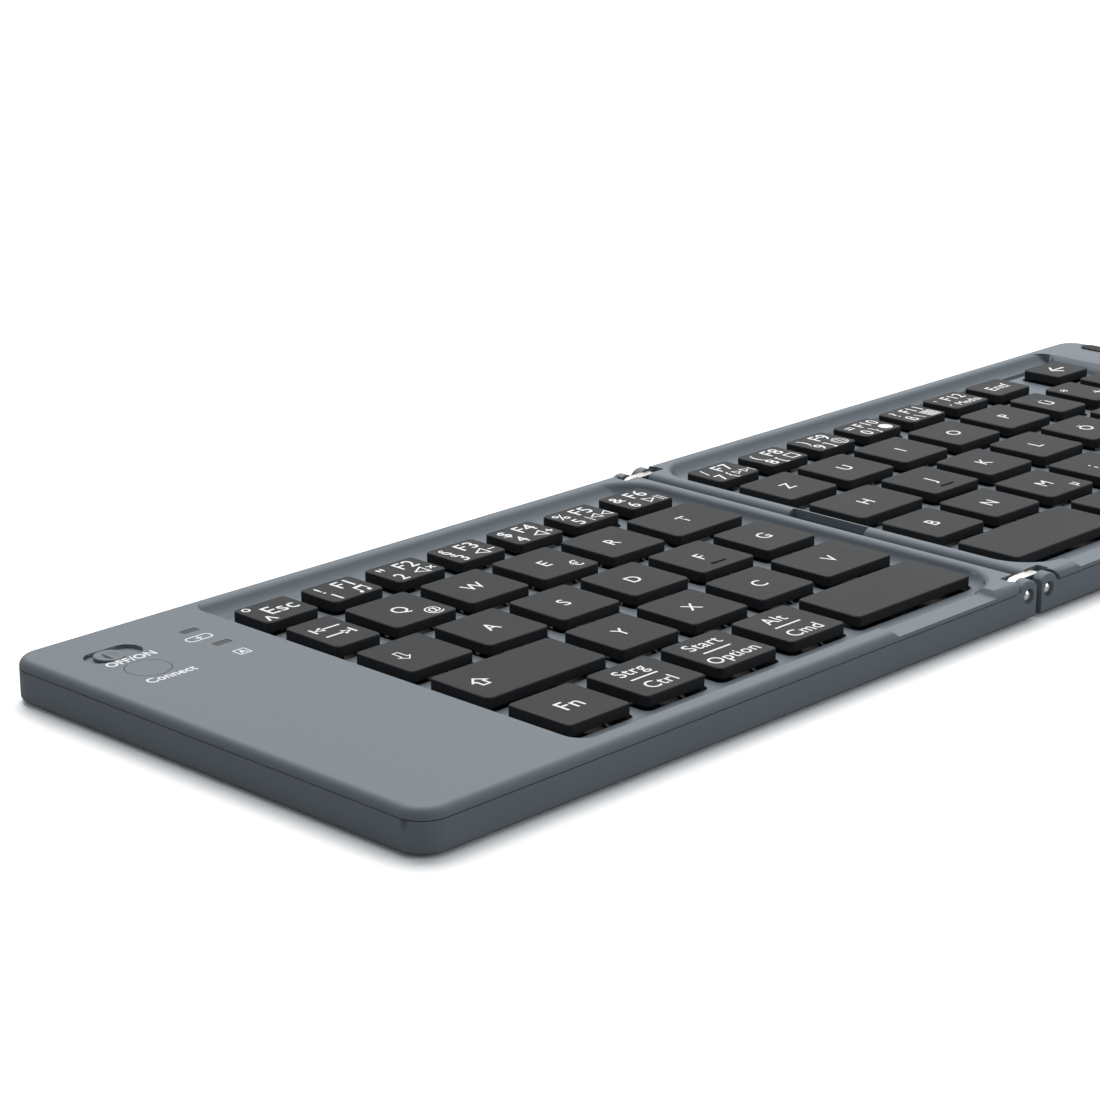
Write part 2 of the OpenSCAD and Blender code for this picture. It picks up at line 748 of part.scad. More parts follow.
// The bar that tells a finger which key it is on
module homing_bar(k) {
  translate([(k[0] + k[1]) / 2, k[2] + 2.55, key_z - 0.1])
    capsule(homing_l, 0.5, homing_h + 0.1);
}

module left_key(row, i) {
  color([0.20, 0.21, 0.22]) {
    key_cap(key_box(-1, row, i));
    if (row == 2 && i == 4) homing_bar(key_box(-1, row, i));
  }
}

module right_key_row(row) {
  color([0.20, 0.21, 0.22]) {
    for (k = keys_in(1, row)) key_cap(k);
    if (row == 2) homing_bar(key_box(1, row, 1));
  }
}

// ---- Hinges ----

// Half of a link's upper side, from its middle out to the sloping end over a pin
module link_side() {
  flank = 60;                          // angle at which the end meets the round under it
  polygon([[0, -link_r / 3], [pin_u, -link_r / 3], [pin_u + link_r * sin(flank),
    link_r * cos(flank)], [pin_u + link_end + 0.9, link_top - 0.45],
    [pin_u + link_end, link_top], [0, link_top]]);
}

module hinge_link(end) {
  color([0.80, 0.81, 0.82]) translate([0, end * link_y + link_w / 2, pin_z]) rotate([90, 0, 0])
    linear_extrude(link_w) difference() {
      for (s = [0, 1]) mirror([s, 0]) {
        translate([pin_u, 0]) circle(link_r);
        link_side();
      }
      for (s = [-1, 1]) translate([s * pin_u, 0]) circle(pin_r + pin_fit);
    }
}

module hinge_pins(side) {
  color([0.92, 0.93, 0.94]) in_place(side) both_ends() {
    at_pin(knuckle_in + 0.1, case_depth / 2 - bore_d + 0.01, pin_r);
    translate([pin_u, case_depth / 2 - bore_d + head_h, pin_z]) rotate([90, 0, 0])
      intersection() {
        cylinder(h = head_h, r = head_r);
        translate([0, 0, head_dome]) sphere(r = head_dome);
      }
  }
}

// Flat cable between the halves, with its ends inside the cases
module flex_cable() {
  color([0.16, 0.12, 0.10]) block(-5, 5, flex_y - flex_w / 2, flex_y + flex_w / 2,
    flex_z, flex_z + 0.2);
}

// ---- Feet and bumper ----

module feet(side) {
  color([0.10, 0.10, 0.11]) in_place(side) feet_at()
    cylinder(h = base_z + foot_seat, d = foot_d);
}

bumper_u = half_len - top_r - bumper_w / 2 - 0.1;
bumper_l = case_depth - 2 * 6.3;
bumper_seat = 0.6;

module bumper_groove() {
  translate([bumper_u, 0, rim_z - bumper_seat]) rotate([0, 0, 90])
    capsule(bumper_l + 0.1, bumper_w + 0.1, bumper_seat + cut);
}

module closing_bumper() {
  color([0.14, 0.14, 0.15]) translate([bumper_u, 0, rim_z - bumper_seat]) rotate([0, 0, 90])
    capsule(bumper_l, bumper_w, bumper_seat + bumper_proud);
}

module left_lower_shell() { color([0.51, 0.54, 0.57]) in_place(-1) lower_shell(-1); }
module right_lower_shell() { color([0.51, 0.54, 0.57]) lower_shell(1); }
module left_upper_shell() { color([0.51, 0.54, 0.57]) in_place(-1) upper_shell(-1); }
module right_upper_shell() { color([0.51, 0.54, 0.57]) upper_shell(1); }
module left_base_plate() { color([0.70, 0.71, 0.72]) base_plate(-1); }
module right_base_plate() { color([0.70, 0.71, 0.72]) base_plate(1); }

left_lower_shell();
left_upper_shell();
left_base_plate();
dome_membrane(-1);  // left_dome_membrane
scissor_levers(-1);  // left_scissor_levers
control_board();
battery();
charging_port();
slide_switch_body();
button_switch_body();
switch_knob();
connect_button();
status_windows();
feet(-1);  // left_feet
hinge_pins(-1);  // left_hinge_pins
hinge_link(-1);  // front_hinge_link
hinge_link(1);  // rear_hinge_link
flex_cable();
right_lower_shell();
right_upper_shell();
right_base_plate();
dome_membrane(1);  // right_dome_membrane
scissor_levers(1);  // right_scissor_levers
feet(1);  // right_feet
hinge_pins(1);  // right_hinge_pins
closing_bumper();
left_key(0, 0);  // key_esc
left_key(0, 1);  // key_f1
left_key(0, 2);  // key_f2
left_key(0, 3);  // key_f3
left_key(0, 4);  // key_f4
left_key(0, 5);  // key_f5
left_key(0, 6);  // key_f6
left_key(1, 0);  // key_tab
left_key(1, 1);  // key_q
left_key(1, 2);  // key_w
left_key(1, 3);  // key_e
left_key(1, 4);  // key_r
left_key(1, 5);  // key_t
left_key(2, 0);  // key_caps
left_key(2, 1);  // key_a
left_key(2, 2);  // key_s
left_key(2, 3);  // key_d
left_key(2, 4);  // key_f
left_key(2, 5);  // key_g
left_key(3, 0);  // key_shift
left_key(3, 1);  // key_y
left_key(3, 2);  // key_x
left_key(3, 3);  // key_c
left_key(3, 4);  // key_v
left_key(4, 0);  // key_fn
left_key(4, 1);  // key_ctrl
left_key(4, 2);  // key_start
left_key(4, 3);  // key_alt
left_key(4, 4);  // key_space_left
right_key_row(0);  // right_keys_row_1
right_key_row(1);  // right_keys_row_2
right_key_row(2);  // right_keys_row_3
right_key_row(3);  // right_keys_row_4
right_key_row(4);  // right_keys_row_5
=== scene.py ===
"""Looks of a folding keyboard: two shallow half cases on paired link hinges, low black keys
with white legends, and a plain panel with a power slider and a connect button at the left end.
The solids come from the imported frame. This script gives them their surfaces and lettering.
"""

import json
from math import radians

import bpy
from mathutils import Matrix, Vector


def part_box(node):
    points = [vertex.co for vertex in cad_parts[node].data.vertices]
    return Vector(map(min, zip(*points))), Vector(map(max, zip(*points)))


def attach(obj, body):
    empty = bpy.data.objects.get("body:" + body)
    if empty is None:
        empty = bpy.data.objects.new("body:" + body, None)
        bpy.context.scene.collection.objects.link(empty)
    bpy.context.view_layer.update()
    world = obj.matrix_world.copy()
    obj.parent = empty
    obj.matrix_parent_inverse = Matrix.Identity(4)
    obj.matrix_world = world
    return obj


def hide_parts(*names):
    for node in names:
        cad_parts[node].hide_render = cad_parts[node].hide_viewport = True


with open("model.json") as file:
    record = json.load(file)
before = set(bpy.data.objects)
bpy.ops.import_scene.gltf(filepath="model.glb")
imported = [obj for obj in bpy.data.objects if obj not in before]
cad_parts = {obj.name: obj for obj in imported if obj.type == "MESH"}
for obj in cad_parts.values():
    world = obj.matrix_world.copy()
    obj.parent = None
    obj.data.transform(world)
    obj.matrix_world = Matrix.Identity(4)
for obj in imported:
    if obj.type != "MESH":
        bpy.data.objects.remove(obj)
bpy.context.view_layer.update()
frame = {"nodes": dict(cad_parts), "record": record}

MM = 0.001

# ---- Studio ----
# A pale table under a broad soft light from the back right, two weak lamps lower on the right, and
# a camera with a long lens, low at the keyboard's front left corner.

CAMERA_PLACE = Vector((-406.2, -326.6, 167.0)) * MM
CAMERA_HEADING = -45.85                 # degrees, leftwards from +Y
CAMERA_DIP = 17.63                      # degrees below level
CAMERA_ROLL = -0.21                     # degrees
CAMERA_LENS = 99.44                     # mm
SENSOR_WIDTH = 36                       # mm
NEAREST_SEEN = 0.01                     # m
TABLE_WIDTH = 9.0                       # m
TABLE_GREY = (0.41, 0.41, 0.41, 1)
ROOM_LIGHT = (0.28, 0.287, 0.294, 1)
SEEN_WHITE = (1, 1, 1, 1)
SEEN_TABLE = (1.52, 1.52, 1.52, 1)

scene = bpy.context.scene
scene.view_settings.view_transform = "Standard"

bpy.ops.object.camera_add(
    location=CAMERA_PLACE, rotation=(radians(90 - CAMERA_DIP), 0, radians(CAMERA_HEADING)))
camera = bpy.context.object
camera.rotation_euler.rotate_axis("Z", radians(CAMERA_ROLL))
camera.data.lens = CAMERA_LENS
camera.data.sensor_width = SENSOR_WIDTH
camera.data.clip_start = NEAREST_SEEN
scene.camera = camera


def new_material(name):
    """An empty material, with its node tree and an output node."""
    material = bpy.data.materials.new(name)
    material.use_nodes = True
    material.node_tree.nodes.clear()
    output = material.node_tree.nodes.new("ShaderNodeOutputMaterial")
    return material, material.node_tree, output


def whiter_when_seen(tree, plain, seen, socket):
    """Feeds a socket with one colour for light and another for what is seen directly."""
    mix = tree.nodes.new("ShaderNodeMix")
    mix.data_type = "RGBA"
    mix.inputs["A"].default_value = plain
    mix.inputs["B"].default_value = seen
    path = tree.nodes.new("ShaderNodeLightPath")
    tree.links.new(path.outputs["Is Camera Ray"], mix.inputs["Factor"])
    tree.links.new(mix.outputs["Result"], socket)


bpy.ops.mesh.primitive_plane_add(size=TABLE_WIDTH, location=(0, 0, 0))
table = bpy.context.object
table.name = "studio_table"
table_paint, tree, output = new_material("studio_table_paint")
chalk = tree.nodes.new("ShaderNodeBsdfDiffuse")
whiter_when_seen(tree, TABLE_GREY, SEEN_TABLE, chalk.inputs["Color"])
tree.links.new(chalk.outputs[0], output.inputs["Surface"])
table.data.materials.append(table_paint)

room = bpy.data.worlds.new("studio_room")
room.use_nodes = True
scene.world = room
sky = room.node_tree.nodes["Background"]
whiter_when_seen(room.node_tree, ROOM_LIGHT, SEEN_WHITE, sky.inputs["Color"])
sky.inputs["Strength"].default_value = 1


def softbox(name, place, aim, width, depth, watts):
    """A rectangular light at a place, turned to a point, in metres."""
    bpy.ops.object.light_add(type="AREA", location=place)
    lamp = bpy.context.object
    lamp.name = name
    lamp.data.shape = "RECTANGLE"
    lamp.data.size, lamp.data.size_y = width, depth
    lamp.data.energy = watts
    lamp.rotation_euler = (Vector(aim) - Vector(place)).to_track_quat("-Z", "Y").to_euler()


softbox("softbox_overhead", place=(0.54, 0.66, 1.16), aim=(0, 0, 0),
        width=1.5, depth=1.6, watts=24.3)
softbox("softbox_low_right", place=(0.8, 0.5, 0.31), aim=(0.05, 0, 0),
        width=0.5, depth=0.4, watts=0.5)
softbox("softbox_front_right", place=(0.5, -0.7, 0.25), aim=(0.1, -0.05, 0),
        width=0.6, depth=0.4, watts=1.2)

# ---- Case shells ----
# Four injection moulded shells in one matt blue grey plastic with a fine spark-eroded grain.
# Each upper shell snaps into its lower shell along a thin seam.

CASE_GREY = (0.187, 0.218, 0.245, 1)
COPLANAR = 0.4                          # degrees between faces that are taken as one flat face
CURVED = 40                             # degrees between faces that still shade as one curve
WELD = 0.002                            # mm, corners nearer than this are one corner
GRAIN_HEIGHT = 0.02                     # mm
CLOUDS = 55                             # cloudy patches per metre, roughly


def group_socket(group, name, kind, side, value=None):
    """Adds an input or an output to a node group."""
    socket = group.interface.new_socket(name, in_out=side, socket_type=kind)
    if value is not None:
        socket.default_value = value


def make_grain_group():
    """Moulded grain: a fine bump, slightly uneven gloss, and faint cloudy colour."""
    group = bpy.data.node_groups.new("moulded_grain", "ShaderNodeTree")
    for name, value in (("Grain Size", 0.25), ("Depth", 0.3), ("Roughness", 0.5),
                        ("Gloss Spread", 0.08), ("Cloud", 0.05)):
        group_socket(group, name, "NodeSocketFloat", "INPUT", value)
    group_socket(group, "Color", "NodeSocketColor", "INPUT", (0.5, 0.5, 0.5, 1))
    group_socket(group, "Color", "NodeSocketColor", "OUTPUT")
    group_socket(group, "Roughness", "NodeSocketFloat", "OUTPUT")
    group_socket(group, "Normal", "NodeSocketVector", "OUTPUT")
    nodes, links = group.nodes, group.links
    given = nodes.new("NodeGroupInput")
    result = nodes.new("NodeGroupOutput")
    place = nodes.new("ShaderNodeTexCoord")

    per_metre = nodes.new("ShaderNodeMath")
    per_metre.operation = "DIVIDE"
    per_metre.inputs[0].default_value = 1 / MM
    links.new(given.outputs["Grain Size"], per_metre.inputs[1])
    grain = nodes.new("ShaderNodeTexNoise")
    grain.inputs["Detail"].default_value = 3
    grain.inputs["Roughness"].default_value = 0.55
    links.new(place.outputs["Object"], grain.inputs["Vector"])
    links.new(per_metre.outputs[0], grain.inputs["Scale"])
    bump = nodes.new("ShaderNodeBump")
    bump.inputs["Distance"].default_value = GRAIN_HEIGHT * MM
    links.new(given.outputs["Depth"], bump.inputs["Strength"])
    links.new(grain.outputs["Fac"], bump.inputs["Height"])
    links.new(bump.outputs["Normal"], result.inputs["Normal"])

    cloud = nodes.new("ShaderNodeTexNoise")
    cloud.inputs["Scale"].default_value = CLOUDS
    cloud.inputs["Detail"].default_value = 4
    links.new(place.outputs["Object"], cloud.inputs["Vector"])
    gloss = nodes.new("ShaderNodeMath")
    gloss.operation = "SUBTRACT"
    gloss.inputs[1].default_value = 0.5
    links.new(cloud.outputs["Fac"], gloss.inputs[0])
    spread = nodes.new("ShaderNodeMath")
    spread.operation = "MULTIPLY_ADD"
    links.new(gloss.outputs[0], spread.inputs[0])
    links.new(given.outputs["Gloss Spread"], spread.inputs[1])
    links.new(given.outputs["Roughness"], spread.inputs[2])
    links.new(spread.outputs[0], result.inputs["Roughness"])

    shade = nodes.new("ShaderNodeMath")
    shade.operation = "ADD"
    links.new(cloud.outputs["Fac"], shade.inputs[0])
    links.new(grain.outputs["Fac"], shade.inputs[1])
    centred = nodes.new("ShaderNodeMath")
    centred.operation = "SUBTRACT"
    centred.inputs[1].default_value = 1
    links.new(shade.outputs[0], centred.inputs[0])
    amount = nodes.new("ShaderNodeMath")
    amount.operation = "MULTIPLY_ADD"
    amount.inputs[2].default_value = 1
    links.new(centred.outputs[0], amount.inputs[0])
    links.new(given.outputs["Cloud"], amount.inputs[1])
    tint = nodes.new("ShaderNodeVectorMath")
    tint.operation = "SCALE"
    links.new(given.outputs["Color"], tint.inputs[0])
    links.new(amount.outputs[0], tint.inputs["Scale"])
    links.new(tint.outputs[0], result.inputs["Color"])
    return group


moulded_grain = make_grain_group()


def surface(name, color, roughness=0.55, specular=0.35, metallic=0, **grain_values):
    """A material whose colour, gloss and bump come from the grain group."""
    material, tree, output = new_material(name)
    grain = tree.nodes.new("ShaderNodeGroup")
    grain.node_tree = moulded_grain
    grain.inputs["Color"].default_value = color
    grain.inputs["Roughness"].default_value = roughness
    for socket, value in grain_values.items():
        grain.inputs[socket.replace("_", " ")].default_value = value
    shader = tree.nodes.new("ShaderNodeBsdfPrincipled")
    shader.inputs["Specular IOR Level"].default_value = specular
    shader.inputs["Metallic"].default_value = metallic
    tree.links.new(grain.outputs["Color"], shader.inputs["Base Color"])
    tree.links.new(grain.outputs["Roughness"], shader.inputs["Roughness"])
    tree.links.new(grain.outputs["Normal"], shader.inputs["Normal"])
    tree.links.new(shader.outputs[0], output.inputs["Surface"])
    return material


def paint(node, material):
    """Puts a material on a CAD node."""
    slots = frame["nodes"][node].material_slots
    for slot in slots:
        slot.material = material
    if not slots:
        frame["nodes"][node].data.materials.append(material)


def only(obj):
    """Leaves one object selected and active."""
    bpy.ops.object.select_all(action="DESELECT")
    obj.select_set(True)
    bpy.context.view_layer.objects.active = obj


def smooth_copy(node, material, angle=CURVED):
    """Takes a node's place with a welded copy whose curved faces shade smoothly."""
    source = frame["nodes"][node]
    only(source)
    bpy.ops.object.duplicate()
    copy = bpy.context.object
    copy.name = node + "_surface"
    copy.data.materials.clear()
    copy.data.materials.append(material)
    bpy.ops.object.mode_set(mode="EDIT")
    bpy.ops.mesh.select_all(action="SELECT")
    bpy.ops.mesh.remove_doubles(threshold=WELD * MM)
    bpy.ops.mesh.dissolve_limited(angle_limit=radians(COPLANAR))
    bpy.ops.object.mode_set(mode="OBJECT")
    bpy.ops.object.shade_smooth_by_angle(angle=radians(angle))
    bpy.ops.object.modifier_add(type="WEIGHTED_NORMAL")
    copy.modifiers[-1].keep_sharp = True
    bpy.ops.object.modifier_apply(modifier=copy.modifiers[-1].name)
    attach(copy, body_of[node])
    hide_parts(node)


body_of = {node: body for body, nodes in frame["record"]["behaviour"]["bodies"].items()
           for node in nodes}

case_plastic = surface(
    "case_plastic", CASE_GREY, roughness=0.52, specular=0.16,
    Grain_Size=0.22, Depth=0.45, Cloud=0.10)
for side in ("left", "right"):
    smooth_copy(side + "_upper_shell", case_plastic)
    smooth_copy(side + "_lower_shell", case_plastic)

# ---- Hinge links and pins ----
# Two stamped links in satin nickel plate, each on two polished steel pins with domed heads that
# sit in counterbores at the front and back faces.

link_metal = surface(
    "satin_nickel", (0.52, 0.50, 0.475, 1), roughness=0.24, metallic=1,
    Grain_Size=0.12, Depth=0.25, Gloss_Spread=0.12, Cloud=0.04)
pin_metal = surface(
    "polished_steel", (0.93, 0.93, 0.92, 1), roughness=0.10, metallic=1,
    Grain_Size=0.4, Depth=0.05, Gloss_Spread=0.05, Cloud=0.02)
for node in ("front_hinge_link", "rear_hinge_link"):
    smooth_copy(node, link_metal)
for node in ("left_hinge_pins", "right_hinge_pins"):
    smooth_copy(node, pin_metal, angle=30)

# ---- Power slider and connect button ----
# Two small mouldings in the case plastic, a little smoother than the case from handling. The
# slider stands in a dish and the button is flush.

control_plastic = surface(
    "control_plastic", (0.187, 0.218, 0.243, 1), roughness=0.48, specular=0.14,
    Grain_Size=0.3, Depth=0.2, Cloud=0.06)
for node in ("switch_knob", "connect_button"):
    smooth_copy(node, control_plastic)

# ---- Status windows ----
# Two small light guides in smoked clear plastic, pressed flush into the panel over their lamps.

window_plastic = surface(
    "smoked_window", (0.058, 0.052, 0.054, 1), roughness=0.35, specular=0.15,
    Grain_Size=0.5, Depth=0.05, Gloss_Spread=0.1, Cloud=0.1)
paint("status_windows", window_plastic)

# ---- Feet and closing bumper ----
# Matt black rubber: a glued disc near each corner of both halves, and one strip on the far end
# panel that the other half closes on.

foot_rubber = surface(
    "foot_rubber", (0.022, 0.022, 0.024, 1), roughness=0.82, specular=0.25,
    Grain_Size=0.35, Depth=0.6, Gloss_Spread=0.06, Cloud=0.2)
bumper_rubber = surface(
    "bumper_rubber", (0.028, 0.029, 0.031, 1), roughness=0.78, specular=0.25,
    Grain_Size=0.3, Depth=0.6, Gloss_Spread=0.06, Cloud=0.2)
for node in ("left_feet", "right_feet"):
    smooth_copy(node, foot_rubber)
smooth_copy("closing_bumper", bumper_rubber)

# ---- Charging socket ----
# A plated steel shell with a plastic tongue, soldered to the board behind an opening in the back
# wall.

socket_metal = surface(
    "socket_shell", (0.60, 0.60, 0.60, 1), roughness=0.28, metallic=1,
    Grain_Size=0.3, Depth=0.15, Gloss_Spread=0.12, Cloud=0.05)
paint("charging_port", socket_metal)

# ---- Pieces inside the case ----
# A rolled aluminium base plate, a silicone dome sheet and nylon scissor levers under the keys of
# each half, and the board, battery, switches and flat cable of the left half.

plate_metal = surface(
    "base_plate_aluminium", (0.60, 0.61, 0.62, 1), roughness=0.42, metallic=1,
    Grain_Size=0.5, Depth=0.2, Gloss_Spread=0.2, Cloud=0.08)
dome_silicone = surface(
    "dome_silicone", (0.020, 0.021, 0.022, 1), roughness=0.5, specular=0.3,
    Grain_Size=0.8, Depth=0.15, Gloss_Spread=0.15, Cloud=0.06)
lever_nylon = surface(
    "lever_nylon", (0.026, 0.026, 0.028, 1), roughness=0.5, specular=0.3,
    Grain_Size=0.3, Depth=0.3, Gloss_Spread=0.1, Cloud=0.08)
board_laminate = surface(
    "board_laminate", (0.012, 0.085, 0.042, 1), roughness=0.35, specular=0.5,
    Grain_Size=0.6, Depth=0.3, Gloss_Spread=0.2, Cloud=0.25)
battery_foil = surface(
    "battery_foil", (0.62, 0.63, 0.64, 1), roughness=0.38, metallic=1,
    Grain_Size=1.5, Depth=0.8, Gloss_Spread=0.2, Cloud=0.08)
switch_plastic = surface(
    "switch_housing", (0.03, 0.03, 0.032, 1), roughness=0.5, specular=0.4,
    Grain_Size=0.3, Depth=0.3, Gloss_Spread=0.1, Cloud=0.1)
tinned_cover = surface(
    "switch_cover", (0.66, 0.66, 0.66, 1), roughness=0.3, metallic=1,
    Grain_Size=0.3, Depth=0.2, Gloss_Spread=0.15, Cloud=0.05)
cable_film = surface(
    "cable_film", (0.16, 0.072, 0.018, 1), roughness=0.3, specular=0.5,
    Grain_Size=0.6, Depth=0.15, Gloss_Spread=0.12, Cloud=0.12)
for side in ("left", "right"):
    paint(side + "_base_plate", plate_metal)
    paint(side + "_dome_membrane", dome_silicone)
    paint(side + "_scissor_levers", lever_nylon)
for node, material in (("control_board", board_laminate), ("battery", battery_foil),
                       ("slide_switch_body", switch_plastic),
                       ("button_switch_body", tinned_cover), ("flex_cable", cable_film)):
    paint(node, material)

# ---- Key caps ----
# Low black caps, moulded with a fine matt grain, that clip onto the levers. The F and J caps have
# a small raised bar for the fingertips.

CAP_BLACK = (0.0265, 0.0275, 0.0295, 1)

cap_plastic = surface(
    "key_cap_plastic", CAP_BLACK, roughness=0.55, specular=0.10,
    Grain_Size=0.16, Depth=0.5, Cloud=0.16)
for node in sorted(frame["nodes"]):
    if node.startswith(("key_", "right_keys_row")):
        smooth_copy(node, cap_plastic)

# ---- Key legends ----
# White ink, pad printed on the caps: a letter in the middle of each letter key, and up to five
# small signs on each key of the back row. They lie a hair above the plastic and move with it.

INK_LIFT = 0.008                        # mm
LETTER = 4.15                           # mm, size of the letters
SIGN = 4.3                              # mm, size of the small signs
STROKE = 0.02                           # mm that each outline is fattened by
ARROW_STROKE = 0.05                     # mm, the same on the two arrow keys at the left edge
PICTOGRAMS = "\U0001f000"               # signs from this one up have fine lines, left unfattened
SPACING = 1.04                          # of the letters of a word
MIDLINE = 0.36                          # of a sign's size, from its foot to its middle
CURVE_STEPS = 4
CAP_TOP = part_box("key_q")[1][2] / MM
MEETING = 0.1                           # mm, faces of one piece are nearer than this

white_ink = surface(
    "white_ink", (0.93, 0.94, 0.95, 1), roughness=0.6, specular=0.1,
    Grain_Size=0.1, Depth=0.3, Gloss_Spread=0.05, Cloud=0.08)


def settle(mark, x, y, z, wide):
    """Centres a flat mesh on x, with its own y = 0 at y, and applies its place."""
    xs = [corner[0] for corner in mark.bound_box]
    middle = (min(xs) + max(xs)) / 2 * wide
    mark.scale = (wide, 1, 1)
    mark.location = (x * MM - middle, y * MM, z * MM)
    only(mark)
    bpy.ops.object.transform_apply(location=True, rotation=True, scale=True)
    return mark


def word(text, x, y, size, z=CAP_TOP + INK_LIFT, wide=0.95, stroke=STROKE):
    """A printed word or sign in flat mesh, its capitals centred on x and y, in millimetres."""
    bpy.ops.object.text_add(location=(0, 0, 0))
    mark = bpy.context.object
    mark.data.body = text
    mark.data.size = size * MM
    mark.data.offset = stroke * MM
    mark.data.space_character = SPACING
    mark.data.resolution_u = CURVE_STEPS
    bpy.ops.object.convert(target="MESH")
    return settle(bpy.context.object, x, y - MIDLINE * size, z, wide)


def bar(x, y, width, height, z=CAP_TOP + INK_LIFT):
    """A printed bar."""
    bpy.ops.mesh.primitive_plane_add(size=1, location=(x * MM, y * MM, z * MM))
    mark = bpy.context.object
    mark.scale = (width * MM, height * MM, 1)
    only(mark)
    bpy.ops.object.transform_apply(location=True, rotation=True, scale=True)
    return mark


def arrow_head(x, y, size, turn):
    """A printed solid triangle. At turn 0 it points to +Y, and turn is in degrees, leftwards."""
    bpy.ops.mesh.primitive_circle_add(
        vertices=3, radius=size * MM, fill_type="NGON",
        location=(x * MM, y * MM, (CAP_TOP + INK_LIFT) * MM), rotation=(0, 0, radians(turn)))
    mark = bpy.context.object
    only(mark)
    bpy.ops.object.transform_apply(location=True, rotation=True, scale=True)
    return mark


def printed(name, marks, body):
    """Joins printed marks into one piece in white ink that moves with a body."""
    bpy.ops.object.select_all(action="DESELECT")
    for mark in marks:
        mark.select_set(True)
    bpy.context.view_layer.objects.active = marks[0]
    if len(marks) > 1:
        bpy.ops.object.join()
    legend = bpy.context.object
    legend.name = name
    legend.data.materials.clear()
    legend.data.materials.append(white_ink)
    bpy.context.scene.cursor.location = (0, 0, 0)
    only(legend)
    bpy.ops.object.origin_set(type="ORIGIN_CURSOR")
    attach(legend, body)


def spans(ranges):
    """Joins ranges that overlap or meet, from the lowest up."""
    joined = []
    for low, high in sorted(ranges):
        if joined and low < joined[-1][1] + MEETING:
            joined[-1][1] = max(joined[-1][1], high)
        else:
            joined.append([low, high])
    return joined


def centres(node):
    """Centre of each piece in a node, left to right and then back to front, in millimetres."""
    mesh = frame["nodes"][node].data
    corners = [[mesh.vertices[i].co / MM for i in face.vertices] for face in mesh.polygons]
    boxes = [[(min(p[axis] for p in face), max(p[axis] for p in face)) for axis in (0, 1)]
             for face in corners]
    found = []
    for x0, x1 in spans(box[0] for box in boxes):
        rows = spans(box[1] for box in boxes if x0 <= box[0][0] <= x1)
        found += [((x0 + x1) / 2, (y0 + y1) / 2) for y0, y1 in reversed(rows)]
    return found


# Places of the marks, in millimetres from the cap's centre.
LETTER_AT = (-0.4, -0.1)
THIRD_AT = (3.5, -3.8)
SHIFTED_AT = (-3.5, 1.7)
PLAIN_AT = (-3.1, -2.3)
NAME_AT = (1.7, 1.8)
ICON_AT = (2.3, -2.2)
SIDE_ICON_AT = (3.0, -2.2)
BRACKET_AT = (-0.6, -2.3)
SPEAKER_AT = (1.3, -2.3)
LOUDNESS_AT = (4.0, -2.1)

SHORT_NAME, LONG_NAME = 4.8, 4.2        # mm, size of the F names with one digit and with two
ICON = 3.6                              # mm
BRACKET = 3.8                           # mm
SPEAKER = "\u25c1"
THIRD_SIGNS = {"Q": ("@", 3.5), "E": ("\u20ac", 3.8), "M": ("\u00b5", 3.6)}


def letter(text):
    """Marks of a letter key, with the small sign that some have in a corner."""
    marks = [(text, *LETTER_AT, LETTER)]
    if text in THIRD_SIGNS:
        sign, size = THIRD_SIGNS[text]
        marks.append((sign, *THIRD_AT, size))
    return marks


def centred(text, size):
    """The mark of a key that has one word or sign in its middle."""
    return [(text, 0, 0, size)]


def pair(shifted, plain, plain_x=0.8):
    """Marks of a punctuation key, side by side."""
    return [(shifted, -1.6, 0.4, LETTER), (plain, plain_x, 0.4, LETTER)]


def number(shifted, plain, name, *signs, shifted_at=SHIFTED_AT, shifted_size=SIGN):
    """Marks of a back row key: its two characters, its F name, and the small signs below that."""
    name_size = SHORT_NAME if len(name) < 3 else LONG_NAME
    return [(shifted, *shifted_at, shifted_size), (plain, *PLAIN_AT, SIGN),
            (name, *NAME_AT, name_size), *signs]


def icon(sign, size):
    """The small sign of a left back row key."""
    return (sign, *ICON_AT, size)


def loudness(sign):
    """A loudspeaker with a small sign beside it."""
    return [(SPEAKER, *SPEAKER_AT, ICON), (sign, *LOUDNESS_AT, ICON)]


def icon_and_bracket(sign, size, bracket):
    """The small sign of a right back row key, with a bracket to its left."""
    return [(sign, *SIDE_ICON_AT, size), (bracket, *BRACKET_AT, BRACKET)]


